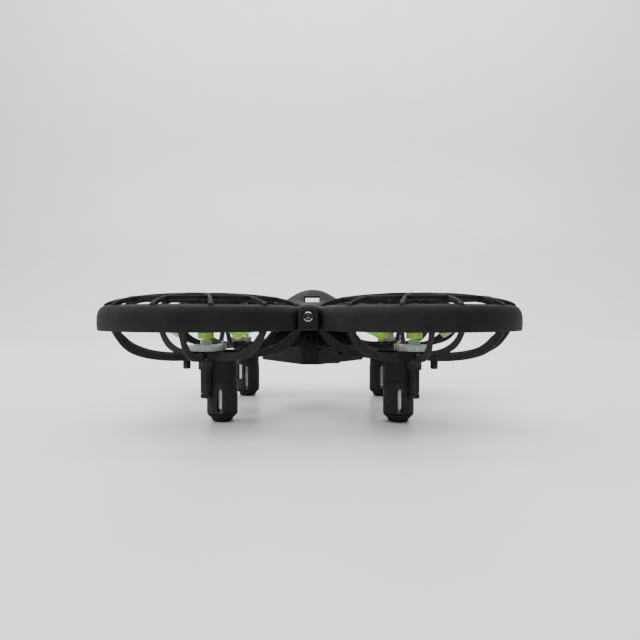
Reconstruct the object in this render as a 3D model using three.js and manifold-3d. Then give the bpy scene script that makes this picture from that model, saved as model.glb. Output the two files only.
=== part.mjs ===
// A palm-sized quadcopter: four ducted rotors round a small central pod.
//
// Millimetres, +Z up, the front faces -Y. The origin is on the surface the drone stands on,
// midway between its four feet. Every rotor unit is built once in a corner frame of its own:
// origin under the propeller axis, +X and +Y pointing outward, away from the middle of the drone.
// Mirroring that frame into the four corners also makes neighbouring propellers counter-rotating.

import * as THREE from 'three';
import { mergeVertices } from 'three/addons/utils/BufferGeometryUtils.js';
import Module from 'manifold-3d';

const wasm = await Module();
wasm.setup();

// ---- driving dimensions ---------------------------------------------------------------------

const ROTOR_OFFSET = 39;        // propeller axis to each centre plane of the drone
const RING_RADIUS = 38.2;       // outside of a guard ring
const RING_BOTTOM = 35.4;       // lower edge of the guard rings
const RING_CREST = 43.8;        // top of their rounded shoulder
const DOME_RISE = 5.3;          // the grille's dome over its own edge
const PROPELLER_RADIUS = 33;
const GEAR_MODULE = 0.3;
const SPUR_TEETH = 40;
const PINION_TEETH = 9;
const MOTOR_RADIUS = 4.25;      // 8.5 mm coreless motor
const HOLDER_RADIUS = 5.85;     // lower part of the motor holder, which is also a leg
const TRAY_BOTTOM = 23.8;       // where the leg meets the gear tray
const POD_BOTTOM = 20.7;
const POD_SEAM = 27.9;          // between the lower shell and the canopy
const BRIDGE_WIDTH = 7;         // bridge between two neighbouring rings
const BRIDGE_REACH = 57.3;      // centre of the drone to a bridge's outer face
const CANOPY_TOP = 51.9;

const GAP = 0.3;                // between two pieces that rest on each other
const WALL = 1.2;               // moulded wall

// ---- sizes that follow ----------------------------------------------------------------------

const AXLE_SPACING = GEAR_MODULE * (SPUR_TEETH + PINION_TEETH) / 2;
const MOTOR_OFFSET = AXLE_SPACING / Math.SQRT2;
const HOLDER_TOP = TRAY_BOTTOM - GAP;
const BRIDGE_CLEAR = ROTOR_OFFSET - BRIDGE_WIDTH / 2 - GAP;
const PROPELLER_SHAFT_RADIUS = 0.6;
const SHAFT_BORE = 0.95;
const MOTOR_SHAFT_RADIUS = 0.4;

// ---- materials ------------------------------------------------------------------------------

const plastic = (color, roughness) => new THREE.MeshStandardMaterial({ color, roughness });
const metal = (color, roughness) =>
  new THREE.MeshStandardMaterial({ color, roughness, metalness: 1 });

const BLACK_PLASTIC = plastic(0x202123, 0.5);
const GREEN_PLASTIC = plastic(0x6fb52c, 0.35);
const WHITE_NYLON = plastic(0xcfd3cb, 0.45);
const CLEAR_WHITE = plastic(0xe9ecec, 0.3);
const DARK_LENS = plastic(0x15151a, 0.1);
const BOARD_GREEN = plastic(0x1c5a34, 0.5);
const SILVER_FOIL = metal(0xb9bcc0, 0.35);
const STEEL = metal(0xa9adb0, 0.25);

// ---- shape helpers --------------------------------------------------------------------------

const WELD = 1e-4;              // corners closer than this are one corner
const TURN = 2 * Math.PI;
const radians = THREE.MathUtils.degToRad;

/** The same closed surface with shared corners, and without slivers of no area. */
function welded(geometry) {
  const bare = geometry.clone();
  bare.deleteAttribute('normal');
  bare.deleteAttribute('uv');
  const merged = mergeVertices(bare, WELD);
  const kept = [];
  const index = merged.index.array;
  for (let at = 0; at < index.length; at += 3) {
    const [a, b, c] = index.slice(at, at + 3);
    if (a !== b && b !== c && c !== a) kept.push(a, b, c);
  }
  merged.setIndex(kept);
  return merged;
}

function toSolid(geometry) {
  const shell = welded(geometry);
  const vertProperties = new Float32Array(shell.attributes.position.array);
  const triVerts = new Uint32Array(shell.index.array);
  return new wasm.Manifold(new wasm.Mesh({ numProp: 3, vertProperties, triVerts }));
}

function toGeometry(solid) {
  const { vertProperties, triVerts } = solid.getMesh();
  const geometry = new THREE.BufferGeometry();
  geometry.setAttribute('position', new THREE.BufferAttribute(vertProperties, 3));
  geometry.setIndex(new THREE.BufferAttribute(triVerts, 1));
  return geometry;
}

function join(...pieces) {
  const solids = pieces.map(toSolid);
  return toGeometry(solids.reduce((whole, piece) => whole.add(piece)));
}

function cut(body, ...tools) {
  const solids = tools.map(toSolid);
  return toGeometry(solids.reduce((rest, tool) => rest.subtract(tool), toSolid(body)));
}

/** A body turned round Z. The [radius, height] profile runs counter-clockwise. */
function turned(profile, sides) {
  const points = profile.map(([radius, height]) => new THREE.Vector2(radius, height));
  return new THREE.LatheGeometry(points, sides).rotateX(Math.PI / 2);
}

/** A hoop turned round Z, from a closed [radius, height] section, with a flat facing +X. */
function hoop(section, sides) {
  return turned([...section, section[0]], sides).rotateZ(TURN / sides / 2);
}

function rod(radius, bottom, top, sides = 16) {
  return turned([[0, bottom], [radius, bottom], [radius, top], [0, top]], sides);
}

/** An [x, y] outline raised from one height to another. */
function raised(outline, bottom, top) {
  const shape = new THREE.Shape(outline.map(([x, y]) => new THREE.Vector2(x, y)));
  const settings = { depth: top - bottom, bevelEnabled: false };
  return new THREE.ExtrudeGeometry(shape, settings).translate(0, 0, bottom);
}

/** A rib standing along +X: its [distance, height] outline, centred on the X-Z plane. */
function rib(outline, width) {
  return raised(outline, -width / 2, width / 2).rotateX(Math.PI / 2);
}

function block(lengthX, lengthY, bottom, top) {
  const height = top - bottom;
  return new THREE.BoxGeometry(lengthX, lengthY, height).translate(0, 0, bottom + height / 2);
}

/** A closed skin over equal rings of points, listed from bottom to top. */
function loft(rings) {
  const count = rings[0].length;
  const corners = rings.flat();
  const faces = [];
  const last = (rings.length - 1) * count;
  for (let level = 0; level < last; level += count) {
    for (let at = 0; at < count; at += 1) {
      const next = (at + 1) % count;
      faces.push(level + at, level + next, level + count + next);
      faces.push(level + at, level + count + next, level + count + at);
    }
  }
  for (let at = 1; at < count - 1; at += 1) {
    faces.push(0, at + 1, at);
    faces.push(last, last + at, last + at + 1);
  }
  const geometry = new THREE.BufferGeometry().setFromPoints(corners);
  geometry.setIndex(faces);
  return geometry;
}

/** Copies of a geometry at equal steps round Z. */
function around(count, firstAngle, geometry) {
  const copies = [];
  for (let at = 0; at < count; at += 1) {
    copies.push(geometry.clone().rotateZ(firstAngle + at * TURN / count));
  }
  return copies;
}

/** Evenly spaced numbers from first to last. */
function steps(first, last, count) {
  return Array.from({ length: count + 1 }, (_, at) => first + (last - first) * at / count);
}

// ---- rotor unit: guard ----------------------------------------------------------------------

const RING_INSIDE = RING_RADIUS - 2.2;
const RING_LIP = RING_RADIUS - 3.3;
const GRILLE_RADIUS = RING_LIP - GAP;
const DOME_BASE = RING_CREST - 0.2;
const DOME_RADIUS = RING_LIP + 1.4;
const SPOKE_COUNT = 12;
const SPOKE_WIDTH = 1.4;
const SPOKE_DEPTH = 1.7;

/** Height of the grille's upper side above the floor, at a distance from the propeller axis. */
const domeHeight = (radius) => DOME_BASE + DOME_RISE * Math.sqrt(1 - (radius / DOME_RADIUS) ** 2);

/** Space that the bridges beside a rotor unit take up, in the corner frame. */
function bridgeSpace() {
  const depth = 20;
  const slab = block(depth, 4 * ROTOR_OFFSET, RING_BOTTOM - 1, CANOPY_TOP)
    .translate(-BRIDGE_CLEAR - depth / 2, 0, 0);
  return [slab, slab.clone().rotateZ(TURN / 4)];
}

function guardRing() {
  const section = [
    [RING_INSIDE, RING_BOTTOM],
    [RING_RADIUS - 0.5, RING_BOTTOM],
    [RING_RADIUS, RING_BOTTOM + 3.6],
    [RING_RADIUS - 0.2, RING_BOTTOM + 5.8],
    [RING_RADIUS - 1.2, RING_CREST - 0.9],
    [RING_LIP, RING_CREST],
    [RING_INSIDE, RING_CREST - 2],
  ];
  return cut(hoop(section, 36), ...bridgeSpace());
}

/** One opening of the grille, between two spokes and two hoops: its corners and arc middles. */
function grilleOpening(inner, outer, firstSpoke) {
  const corners = [];
  const arc = (radius, fractions) => {
    const clearance = Math.asin(SPOKE_WIDTH / 2 / radius);
    const start = firstSpoke + clearance;
    const sweep = TURN / SPOKE_COUNT - 2 * clearance;
    for (const fraction of fractions) {
      const angle = start + sweep * fraction;
      corners.push(new THREE.Vector2(radius * Math.cos(angle), radius * Math.sin(angle)));
    }
  };
  arc(outer, [0, 1 / 3, 2 / 3, 1]);
  arc(inner, [1, 0.5, 0]);
  return new THREE.Path(corners);
}

/** A flat wheel of spokes and hoops, pushed up into a shallow dome. */
function guardGrille() {
  const hubRadius = 4;
  const middle = 27;
  const edgeWidth = 1.3;
  const sheet = new THREE.Shape();
  sheet.absarc(0, 0, GRILLE_RADIUS, 0, TURN);
  for (let spoke = 0; spoke < SPOKE_COUNT; spoke += 1) {
    const firstSpoke = radians(15) + spoke * TURN / SPOKE_COUNT;
    sheet.holes.push(grilleOpening(hubRadius, middle - SPOKE_WIDTH / 2, firstSpoke));
    sheet.holes.push(grilleOpening(middle + SPOKE_WIDTH / 2, GRILLE_RADIUS - edgeWidth, firstSpoke));
  }
  const settings = { depth: SPOKE_DEPTH, bevelEnabled: false, curveSegments: 18 };
  const grille = new THREE.ExtrudeGeometry(sheet, settings);
  const place = grille.attributes.position;
  for (let at = 0; at < place.count; at += 1) {
    const radius = Math.hypot(place.getX(at), place.getY(at));
    place.setZ(at, place.getZ(at) - SPOKE_DEPTH + domeHeight(radius));
  }
  return grille;
}

// ---- rotor unit: basket of arms with the gear tray ------------------------------------------

const TRAY_OFFSET = 4.7;
const TRAY_RADIUS = 10.9;
const TRAY_RIM = 26.8;
const TRAY_FLOOR = 25.4;
const BASKET_RADIUS = 35.1;
const BOSS_PLACE = [8.3, -4.5];
const BOSS_BOTTOM = 21.5;
const SCREW_BORE = 0.9;
const THICK_ARM = 2.2;
const THIN_ARM = 1.3;

/** Arms that lie towards the middle or straight outward are thick, the others are thin. */
const ARM_WIDTHS = [
  THICK_ARM, THIN_ARM, THIN_ARM, THIN_ARM, THICK_ARM, THICK_ARM, THIN_ARM, THIN_ARM,
];

function arm(width) {
  const lower = [[3, 23.9], [16, 24.3], [26, 26.2], [32.3, 29.7], [BASKET_RADIUS - 0.1, 35]];
  const upper = [[32.7, 35], [29.4, 31.2], [23.6, 28.2], [15, 26.6], [3, 26.6]];
  return rib([...lower, ...upper], width);
}

function armBasket() {
  const arms = ARM_WIDTHS.map((width, at) => arm(width).rotateZ(at * TURN / ARM_WIDTHS.length));
  const rim = hoop([
    [BASKET_RADIUS - 1, 34],
    [BASKET_RADIUS, 34.4],
    [BASKET_RADIUS, RING_BOTTOM + 1],
    [BASKET_RADIUS - 1, RING_BOTTOM + 1],
  ], 16);
  const tray = turned([
    [0, TRAY_BOTTOM],
    [HOLDER_RADIUS + 1.4, TRAY_BOTTOM],
    [TRAY_RADIUS - 1.4, TRAY_BOTTOM + 1],
    [TRAY_RADIUS, TRAY_RIM],
    [0, TRAY_RIM],
  ], 20).translate(-TRAY_OFFSET, -TRAY_OFFSET, 0);
  const [bossX, bossY] = BOSS_PLACE;
  const boss = rod(1.95, BOSS_BOTTOM, TRAY_RIM - 1, 12).translate(bossX, bossY, 0);
  const bossTab = block(6, 3, TRAY_BOTTOM, TRAY_RIM - 1).translate(bossX - 3, bossY, 0);
  const recess = rod(TRAY_RADIUS - 1, TRAY_FLOOR, TRAY_RIM + 3, 20)
    .translate(-TRAY_OFFSET, -TRAY_OFFSET, 0);
  const motorHole = rod(1.9, TRAY_BOTTOM - 1, TRAY_RIM, 10)
    .translate(-MOTOR_OFFSET, -MOTOR_OFFSET, 0);
  const shaftHole = rod(SHAFT_BORE, TRAY_BOTTOM - 1, TRAY_RIM, 10);
  const screwHole = rod(SCREW_BORE, BOSS_BOTTOM - 1, TRAY_RIM - 1.5, 8).translate(bossX, bossY, 0);
  const whole = join(tray, rim, boss, bossTab, ...arms);
  return cut(whole, recess, motorHole, shaftHole, screwHole);
}

function bossScrew() {
  const head = 1.45;
  const shank = 0.55;
  const [x, y] = BOSS_PLACE;
  const headTop = BOSS_BOTTOM - GAP;
  return turned([
    [0, headTop - 1.3],
    [head, headTop - 1.3],
    [head, headTop],
    [shank, headTop],
    [shank, TRAY_BOTTOM + 1],
    [0, TRAY_BOTTOM + 1.2],
  ], 12).translate(x, y, 0);
}

// ---- rotor unit: leg with the motor ---------------------------------------------------------

const FOOT_TOP = 2.9;
const MOTOR_LENGTH = 20;
const MOTOR_BOSS_TOP = FOOT_TOP + GAP + MOTOR_LENGTH + 1;
const STEP_HEIGHT = 15.2;       // where the leg narrows a little
const TUBE_BOTTOM = 11.3;
const TUBE_RADIUS = 1.8;
const BUSHING_RADIUS = TUBE_RADIUS + 0.2;
const BUSHING_HEIGHT = 1.5;

function motorHolder() {
  const inside = MOTOR_RADIUS + GAP;
  const upperRadius = HOLDER_RADIUS - 0.2;
  const bottom = FOOT_TOP + GAP;
  const sleeve = hoop([
    [inside, bottom],
    [HOLDER_RADIUS, bottom],
    [HOLDER_RADIUS, STEP_HEIGHT],
    [upperRadius, STEP_HEIGHT + GAP],
    [upperRadius, HOLDER_TOP],
    [inside, HOLDER_TOP],
  ], 20);
  const tube = rod(TUBE_RADIUS, TUBE_BOTTOM, HOLDER_TOP, 10).translate(AXLE_SPACING, 0, 0);
  const collar = rod(2.8, HOLDER_TOP - 3.2, HOLDER_TOP, 10).translate(AXLE_SPACING, 0, 0);
  const webStart = inside + 0.4;
  const web = block(AXLE_SPACING - webStart, 1.6, TUBE_BOTTOM + 0.7, HOLDER_TOP)
    .translate((AXLE_SPACING + webStart) / 2, 0, 0);
  const bore = rod(SHAFT_BORE, TUBE_BOTTOM - 1, HOLDER_TOP + 1, 10).translate(AXLE_SPACING, 0, 0);
  const cavity = rod(inside, bottom - 1, HOLDER_TOP + 1, 20);
  const notch = rod(BUSHING_RADIUS + GAP, TUBE_BOTTOM - 2 * GAP - BUSHING_HEIGHT, TUBE_BOTTOM, 10)
    .translate(AXLE_SPACING, 0, 0);
  const slotWidth = 1.9;
  const slotTop = 12.6 - slotWidth / 2;
  const slotDepth = 4 * HOLDER_RADIUS;
  const slot = block(slotWidth, slotDepth, bottom + GAP, slotTop);
  const slotArch = new THREE.CylinderGeometry(slotWidth / 2, slotWidth / 2, slotDepth, 8)
    .translate(0, 0, slotTop);
  const window = block(HOLDER_RADIUS, 8, 8.3, 16.4)
    .translate(HOLDER_RADIUS, 0, 0)
    .rotateZ(-TURN / 8);
  const leg = cut(join(sleeve, cut(join(tube, collar, web), cavity)), bore, notch)
    .rotateZ(TURN / 8);
  return cut(leg, slot, slotArch, window).translate(-MOTOR_OFFSET, -MOTOR_OFFSET, 0);
}

function motorFoot() {
  const sole = 2.95;
  return turned([
    [0, 0],
    [sole, 0],
    [sole + 1.15, 1.5],
    [HOLDER_RADIUS - 0.1, FOOT_TOP],
    [0, FOOT_TOP],
  ], 20).translate(-MOTOR_OFFSET, -MOTOR_OFFSET, 0);
}

function motor() {
  const bottom = FOOT_TOP + GAP;
  const bossRadius = 1.2;
  const top = MOTOR_BOSS_TOP - 1;
  return turned([
    [0, bottom],
    [MOTOR_RADIUS, bottom],
    [MOTOR_RADIUS, top],
    [bossRadius, top],
    [bossRadius, MOTOR_BOSS_TOP],
    [0, MOTOR_BOSS_TOP],
  ], 16).translate(-MOTOR_OFFSET, -MOTOR_OFFSET, 0);
}

function shaftBushing() {
  const top = TUBE_BOTTOM - GAP;
  return hoop([
    [SHAFT_BORE, top - BUSHING_HEIGHT],
    [BUSHING_RADIUS, top - BUSHING_HEIGHT],
    [BUSHING_RADIUS, top],
    [SHAFT_BORE, top],
  ], 10);
}

// ---- rotor unit: gears and propeller --------------------------------------------------------

const GEAR_BOTTOM = 27.1;
const GEAR_TOP = 29.7;
const GEAR_HUB_TOP = 31.4;
const PROPELLER_HUB_TOP = 37;

/** A toothed disc with V-shaped gaps. Its first tooth points along +X, turned on by the phase angle. */
function toothedWheel(teeth, bottom, top, phase) {
  const pitchRadius = GEAR_MODULE * teeth / 2;
  const tip = pitchRadius + GEAR_MODULE;
  const root = pitchRadius - 1.9 * GEAR_MODULE;
  const tipHalf = 0.09 / tip;
  const outline = [];
  for (let tooth = 0; tooth < teeth; tooth += 1) {
    const middle = phase + tooth * TURN / teeth;
    const corners = [[root, -TURN / teeth / 2], [tip, -tipHalf], [tip, tipHalf]];
    for (const [radius, angle] of corners) {
      outline.push([radius * Math.cos(middle + angle), radius * Math.sin(middle + angle)]);
    }
  }
  return raised(outline, bottom, top);
}

function spurGear() {
  const hub = rod(2.15, GEAR_TOP - 0.5, GEAR_HUB_TOP, 10);
  const bore = rod(SHAFT_BORE, GEAR_BOTTOM - 1, GEAR_HUB_TOP + 1, 10);
  return cut(join(toothedWheel(SPUR_TEETH, GEAR_BOTTOM, GEAR_TOP, 0), hub), bore);
}

/** The motor's pinion on its shaft. A spur tooth points at it, so one of its gaps points back. */
function pinion() {
  const gapAngle = TURN / 8 + TURN / PINION_TEETH / 2;
  const wheel = toothedWheel(PINION_TEETH, GEAR_BOTTOM - 0.2, GEAR_TOP + 0.3, gapAngle);
  const shaft = rod(MOTOR_SHAFT_RADIUS, MOTOR_BOSS_TOP + GAP, GEAR_TOP + 0.9, 8);
  return join(wheel, shaft).translate(-MOTOR_OFFSET, -MOTOR_OFFSET, 0);
}

function propellerShaft() {
  return rod(PROPELLER_SHAFT_RADIUS, 8.9, PROPELLER_HUB_TOP - 1.6, 12);
}

/**
 * One propeller blade along +X. Its leading edge, on the +Y side, is nearly straight and level,
 * and its trailing edge hangs down in a broad belly a third of the way out.
 */
function blade() {
  const stations = [
    { radius: 1.8, chord: 3.6, pitch: 20, height: 35.3, thickness: 1.4 },
    { radius: 8, chord: 4.6, pitch: 30, height: 36, thickness: 1.2 },
    { radius: 12.5, chord: 7.6, pitch: 34, height: 35.4, thickness: 1 },
    { radius: 16, chord: 10.4, pitch: 33, height: 34.6, thickness: 0.9 },
    { radius: 21, chord: 8.9, pitch: 22, height: 36, thickness: 0.8 },
    { radius: 29, chord: 6.8, pitch: 14, height: 37, thickness: 0.6 },
    { radius: PROPELLER_RADIUS, chord: 3.4, pitch: 12, height: 37.1, thickness: 0.5 },
  ];
  const rings = stations.map(({ radius, chord, pitch, height, thickness }) => {
    const slope = radians(pitch);
    const leading = 1.8 + 1.4 * Math.min(1, radius / 10);
    const middle = leading - chord * Math.cos(slope) / 2;
    const section = [
      [chord / 2, thickness * 0.2],
      [chord * 0.1, thickness * 0.8],
      [-chord / 2, thickness * 0.1],
      [-chord / 2, -thickness * 0.2],
      [chord * 0.1, -thickness * 0.1],
      [chord / 2, -thickness * 0.3],
    ];
    return section.map(([along, up]) => new THREE.Vector3(
      radius,
      middle + along * Math.cos(slope) - up * Math.sin(slope),
      height + along * Math.sin(slope) + up * Math.cos(slope),
    ));
  });
  return loft(rings);
}

function propeller() {
  const bladeAngle = radians(162);
  const boreTop = PROPELLER_HUB_TOP - 1;
  const hub = turned([
    [0, GEAR_HUB_TOP + GAP],
    [2.8, GEAR_HUB_TOP + GAP],
    [2.8, 36.2],
    [2, PROPELLER_HUB_TOP],
    [0, PROPELLER_HUB_TOP],
  ], 12);
  const bore = rod(SHAFT_BORE, GEAR_HUB_TOP, boreTop, 8);
  return cut(join(hub, ...around(2, bladeAngle, blade())), bore);
}

// ---- central pod ----------------------------------------------------------------------------

const POD_REACH = 25.5;         // centre to the front and rear flats at the seam
const POD_SIDE = 22.4;          // centre to the left and right corners at the seam
const FLAT_HALF = 3.4;
const CANOPY_RADIUS = 16.2;
const WINDOW_BOTTOM = 45.8;
const WINDOW_HEIGHT = 2.8;
const SENSOR_HEIGHT = 40;
const SENSOR_RADIUS = 1.45;
const SWITCH_PLACE = [9.7, -6];

/** The pod's six-cornered plan at one height, drawn in by an inset on every side. */
function podPlan(height, inset) {
  const reach = POD_REACH - inset;
  const side = POD_SIDE - inset * 1.4;
  const half = FLAT_HALF - inset * 0.3;
  const corners = [[side, 0], [half, reach], [-half, reach], [-side, 0], [-half, -reach], [half, -reach]];
  return corners.map(([x, y]) => new THREE.Vector3(x, y, height));
}

/** Height of the canopy's skin at a distance from the middle, drawn in by an inset. */
const humpHeight = (radius, inset) => CANOPY_TOP - inset - 4.5 * (radius / 11.3) ** 2;

function hump(inset, bottom, sides) {
  const edge = CANOPY_RADIUS - inset;
  const skin = steps(edge, 0, 4).map((radius) => [radius, humpHeight(radius, inset)]);
  return turned([[0, bottom], [edge, bottom], ...skin], sides);
}

/** A hollow bridge along +X, over the place where two rings meet, with a hole for its sensor. */
function bridge() {
  const face = BRIDGE_REACH;
  const shoulder = RING_CREST + 0.3;
  const beam = rib([
    [9, RING_BOTTOM],
    [face, RING_BOTTOM],
    [face, shoulder - 2.3],
    [face - 0.8, shoulder - 0.8],
    [face - 2.6, shoulder],
    [20, shoulder + 1.6],
    [9, shoulder + 2.6],
  ], BRIDGE_WIDTH);
  const hollowEnd = face - 6;
  const hollow = block(hollowEnd - 8, BRIDGE_WIDTH - 2 * WALL, RING_BOTTOM - 1, RING_CREST - WALL)
    .translate((hollowEnd + 8) / 2, 0, 0);
  const sensorHole = rod(SENSOR_RADIUS + GAP, hollowEnd - 1, face + 1, 12)
    .rotateY(TURN / 4)
    .translate(0, 0, SENSOR_HEIGHT);
  return cut(beam, hollow, sensorHole);
}

function canopy() {
  const seam = POD_SEAM + GAP;
  const skirt = loft([podPlan(seam, 0.2), podPlan(RING_BOTTOM, 6.4)]);
  const skirtInside = loft([podPlan(seam - 0.1, 0.2 + WALL), podPlan(RING_BOTTOM + 0.5, 6.4 + WALL)]);
  const holeSpacing = 2.5;
  const eye = new THREE.CylinderGeometry(0.6, 0.6, 12, 10).scale(1, 1, 1.7)
    .translate(0, -POD_REACH + 3, 31.3);
  const eyes = [-1, 1].map((side) => eye.clone().translate(side * holeSpacing / 2, 0, 0));
  const window = block(2 * FLAT_HALF, 10, WINDOW_BOTTOM, WINDOW_BOTTOM + WINDOW_HEIGHT)
    .translate(0, -CANOPY_RADIUS + 4.2, 0);
  const whole = join(skirt, hump(0, RING_BOTTOM - 1, 24), ...around(4, 0, bridge()));
  return cut(whole, skirtInside, hump(WALL + 0.4, RING_BOTTOM - 1.5, 12), window, ...eyes);
}

function lightBar() {
  const height = WINDOW_HEIGHT - 2 * GAP;
  return block(2 * (FLAT_HALF - GAP), 1.6, WINDOW_BOTTOM + GAP, WINDOW_BOTTOM + GAP + height)
    .translate(0, -9.4, 0);
}

function lowerShell() {
  const floor = POD_BOTTOM + WALL;
  const outside = loft([podPlan(POD_BOTTOM, 1.1), podPlan(POD_BOTTOM + 0.8, 0.4), podPlan(POD_SEAM, 0)]);
  const inside = loft([podPlan(floor, 0.4 + WALL), podPlan(POD_SEAM + 0.1, WALL)]);
  const [switchX, switchY] = SWITCH_PLACE;
  const switchSlot = block(5.4, 4.8, POD_BOTTOM - 1, floor + 1).translate(switchX, switchY - 1, 0);
  const sensorHole = rod(SENSOR_RADIUS + GAP, POD_BOTTOM - 1, floor + 1, 12);
  const facet = Math.atan2(POD_REACH, POD_SIDE - FLAT_HALF);
  const socketSlot = block(5.6, 6, 24.1, 25.3)
    .rotateZ(facet)
    .translate((POD_SIDE + FLAT_HALF) / 2, -POD_REACH / 2, 0);
  return cut(outside, inside, switchSlot, sensorHole, socketSlot);
}

function powerSwitch() {
  const floor = POD_BOTTOM + WALL;
  const slider = block(4.6, 2, POD_BOTTOM - 1.4, floor + GAP + 0.2);
  const flange = block(6.4, 4, floor + GAP, floor + GAP + 0.7);
  const [x, y] = SWITCH_PLACE;
  return join(slider, flange).translate(x, y, 0);
}

/** The charging socket, standing behind its slot in the right front side of the lower shell. */
function chargeSocket() {
  const facet = Math.atan2(POD_REACH, POD_SIDE - FLAT_HALF);
  const depth = 3.4;
  const inward = WALL + GAP + 0.5 + depth / 2;
  const body = block(6, depth, 23.4, 26);
  const mouth = block(4.6, depth, 24.2, 25.2).translate(0, -0.8, 0);
  return cut(body, mouth)
    .rotateZ(facet)
    .translate(
      (POD_SIDE + FLAT_HALF) / 2 - inward * Math.sin(facet),
      -POD_REACH / 2 + inward * Math.cos(facet),
      0,
    );
}

function battery() {
  return block(13, 25, 24, 30.2);
}

function circuitBoard() {
  return block(15, 22, 31, 32);
}

function bottomSensor() {
  return rod(SENSOR_RADIUS, POD_BOTTOM + 0.3, POD_BOTTOM + 2.8, 12);
}

function bridgeSensor() {
  return rod(SENSOR_RADIUS, BRIDGE_REACH - 6.5, BRIDGE_REACH - 0.5, 12)
    .rotateY(TURN / 4)
    .translate(0, 0, SENSOR_HEIGHT);
}

// ---- assembly -------------------------------------------------------------------------------

const UNIT_PIECES = [
  ['guard_ring', guardRing, BLACK_PLASTIC],
  ['guard_grille', guardGrille, BLACK_PLASTIC],
  ['arm_basket', armBasket, BLACK_PLASTIC],
  ['motor_holder', motorHolder, BLACK_PLASTIC],
  ['motor_foot', motorFoot, BLACK_PLASTIC],
  ['motor', motor, STEEL],
  ['pinion', pinion, WHITE_NYLON],
  ['spur_gear', spurGear, WHITE_NYLON],
  ['propeller_shaft', propellerShaft, STEEL],
  ['shaft_bushing', shaftBushing, BLACK_PLASTIC],
  ['propeller', propeller, GREEN_PLASTIC],
  ['boss_screw', bossScrew, STEEL],
];

const POD_PIECES = [
  ['canopy', canopy, BLACK_PLASTIC],
  ['light_bar', lightBar, CLEAR_WHITE],
  ['lower_shell', lowerShell, BLACK_PLASTIC],
  ['power_switch', powerSwitch, BLACK_PLASTIC],
  ['charge_socket', chargeSocket, STEEL],
  ['battery', battery, SILVER_FOIL],
  ['circuit_board', circuitBoard, BOARD_GREEN],
  ['bottom_sensor', bottomSensor, DARK_LENS],
];

const CORNERS = [
  { name: 'front_left', signX: -1, signY: -1 },
  { name: 'front_right', signX: 1, signY: -1 },
  { name: 'rear_left', signX: -1, signY: 1 },
  { name: 'rear_right', signX: 1, signY: 1 },
];

const SIDES = [
  { name: 'right', angle: 0 },
  { name: 'rear', angle: TURN / 4 },
  { name: 'left', angle: TURN / 2 },
  { name: 'front', angle: -TURN / 4 },
];

function namedMesh(name, geometry, material) {
  const mesh = new THREE.Mesh(geometry, material);
  mesh.name = name;
  return mesh;
}

/** A copy mirrored into a corner. One mirroring turns the faces inside out, so it turns them back. */
function mirrored(geometry, signX, signY) {
  const copy = welded(geometry).scale(signX, signY, 1);
  if (signX * signY < 0) {
    const faces = copy.index.array;
    for (let at = 0; at < faces.length; at += 3) {
      [faces[at], faces[at + 1]] = [faces[at + 1], faces[at]];
    }
  }
  return copy;
}

const drone = new THREE.Group();

const unit = UNIT_PIECES.map(([name, make, material]) => [name, make(), material]);
for (const { name: corner, signX, signY } of CORNERS) {
  const place = new THREE.Group();
  place.position.set(signX * ROTOR_OFFSET, signY * ROTOR_OFFSET, 0);
  for (const [name, geometry, material] of unit) {
    place.add(namedMesh(`${corner}_${name}`, mirrored(geometry, signX, signY), material));
  }
  drone.add(place);
}

for (const [name, make, material] of POD_PIECES) {
  drone.add(namedMesh(name, make(), material));
}

for (const { name, angle } of SIDES) {
  const sensor = namedMesh(`${name}_sensor`, bridgeSensor(), DARK_LENS);
  sensor.rotation.z = angle;
  drone.add(sensor);
}

export default drone;
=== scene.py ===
"""The looks of a palm-sized quadcopter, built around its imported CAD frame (Blender 4.5, metres).

Every rotor unit is modelled once in a corner frame of its own, with the propeller axis at its origin
and +X and +Y pointing outward, and mirrored copies of its pieces go to the four corners.
"""

import math

import bmesh
import bpy
from mathutils import Matrix, Vector


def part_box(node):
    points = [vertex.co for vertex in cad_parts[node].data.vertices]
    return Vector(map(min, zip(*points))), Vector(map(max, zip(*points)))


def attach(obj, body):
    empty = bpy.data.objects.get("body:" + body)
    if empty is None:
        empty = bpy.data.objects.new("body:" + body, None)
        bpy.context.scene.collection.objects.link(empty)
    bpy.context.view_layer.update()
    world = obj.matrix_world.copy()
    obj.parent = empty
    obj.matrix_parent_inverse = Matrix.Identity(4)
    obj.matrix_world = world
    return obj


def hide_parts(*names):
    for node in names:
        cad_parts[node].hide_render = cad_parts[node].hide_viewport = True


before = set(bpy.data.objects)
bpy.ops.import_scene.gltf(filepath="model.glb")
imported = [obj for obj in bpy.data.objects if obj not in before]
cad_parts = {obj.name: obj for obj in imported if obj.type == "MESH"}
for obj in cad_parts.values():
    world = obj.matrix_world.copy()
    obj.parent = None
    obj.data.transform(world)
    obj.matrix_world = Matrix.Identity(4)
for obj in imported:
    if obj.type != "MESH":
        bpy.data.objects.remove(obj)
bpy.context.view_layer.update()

MM = 0.001
TURN = 2 * math.pi


# ---- sizes, read from the frame ----

def box_mm(node):
    """A CAD node's lowest and highest corners in millimetres."""
    low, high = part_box(node)
    return low / MM, high / MM


def highest_mm(node):
    return box_mm(node)[1]


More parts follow.
